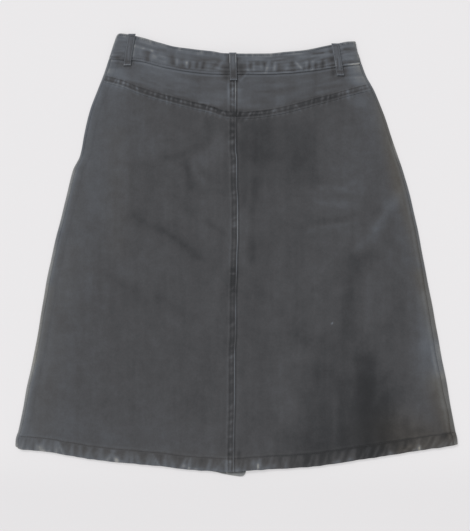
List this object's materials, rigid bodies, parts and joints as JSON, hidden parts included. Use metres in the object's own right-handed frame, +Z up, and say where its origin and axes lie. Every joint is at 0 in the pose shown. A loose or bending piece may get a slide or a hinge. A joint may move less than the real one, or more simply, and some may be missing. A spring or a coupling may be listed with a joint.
{
  "type": "denim skirt",
  "caption": "Knee-length A-line denim skirt laid flat, back up, with a shaped yoke, belt loops and a button-through front underneath.",
  "frame": {"origin": "on the surface that the skirt lies on, under the middle of its box", "axes": "+Y from the hem to the waist, +X to the wearer's right, +Z up from the surface; the back faces up"},
  "size_m": [0.7067, 0.7077, 0.0152],
  "materials": {
    "denim": "washed black cotton twill, matt, lighter along the seams and edges",
    "shank_metal": "dull dark nickel"
  },
  "bodies": {
    "root": {"back_yoke_left": "denim", "back_yoke_right": "denim", "back_panel_left": "denim", "back_panel_right": "denim", "front_panel_left": "denim", "front_panel_right": "denim", "front_placket_left": "denim", "front_placket_right": "denim", "waistband": "denim", "belt_loop_back_left": "denim", "belt_loop_back_centre": "denim", "belt_loop_back_right": "denim", "belt_loop_front_left": "denim", "belt_loop_front_right": "denim", "button_1": "shank_metal", "button_2": "shank_metal", "button_3": "shank_metal", "button_4": "shank_metal", "button_5": "shank_metal", "button_6": "shank_metal", "button_7": "shank_metal", "button_8": "shank_metal", "button_9": "shank_metal"}
  },
  "joints": []
}
